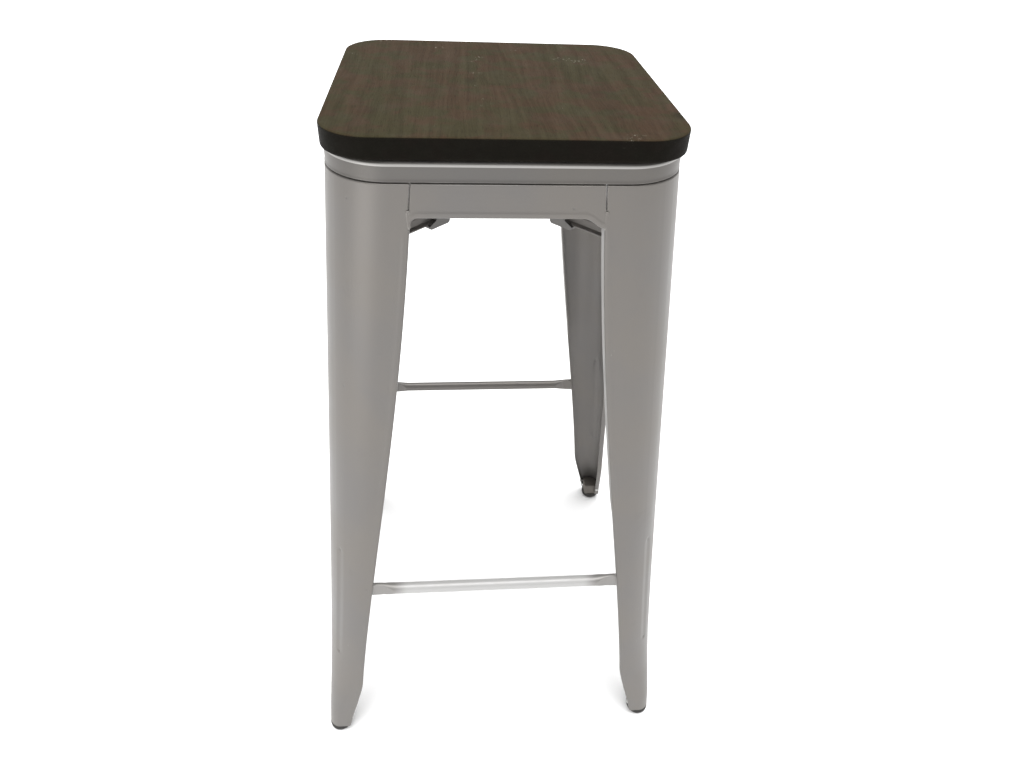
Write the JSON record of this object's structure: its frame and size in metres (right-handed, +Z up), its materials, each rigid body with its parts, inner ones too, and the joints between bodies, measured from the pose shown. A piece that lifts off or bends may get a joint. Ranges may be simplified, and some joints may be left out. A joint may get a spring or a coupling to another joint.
{
  "type": "bar stool",
  "caption": "Backless square bar stool with a wooden seat board, pressed-steel channel legs, a cross brace with stacking bumpers, rubber feet and round footrest bars.",
  "frame": {"origin": "on the floor under the middle of the seat", "axes": "+Z up from the floor to the seat, front of the stool along -Y, +X to the sitter's right seen from the front"},
  "size_m": [0.425, 0.425, 0.762],
  "materials": {
    "wood": "dark walnut stain, matt, worn along the edges",
    "steel": "warm light grey, satin powder coat",
    "bumper": "charcoal, matt",
    "foot": "black, matt",
    "fixing": "zinc plated"
  },
  "bodies": {
    "root": {"seat_board": "wood", "seat_pan": "steel", "leg_back_right": "steel", "leg_back_left": "steel", "leg_front_left": "steel", "leg_front_right": "steel", "rail_back": "steel", "rail_left": "steel", "rail_front": "steel", "rail_right": "steel", "brace_upper": "steel", "brace_lower": "steel", "footrest_bar_back": "steel", "footrest_bar_left": "steel", "footrest_bar_front": "steel", "footrest_bar_right": "steel", "bumper_back_right": "bumper", "bumper_back_left": "bumper", "bumper_front_left": "bumper", "bumper_front_right": "bumper", "foot_back_right": "foot", "foot_rivet_a_back_right": "fixing", "foot_rivet_b_back_right": "fixing", "foot_back_left": "foot", "foot_rivet_a_back_left": "fixing", "foot_rivet_b_back_left": "fixing", "foot_front_left": "foot", "foot_rivet_a_front_left": "fixing", "foot_rivet_b_front_left": "fixing", "foot_front_right": "foot", "foot_rivet_a_front_right": "fixing", "foot_rivet_b_front_right": "fixing", "board_screw_1": "fixing", "board_washer_1": "fixing", "board_screw_2": "fixing", "board_washer_2": "fixing", "board_screw_3": "fixing", "board_washer_3": "fixing", "board_screw_4": "fixing", "board_washer_4": "fixing"}
  },
  "joints": []
}
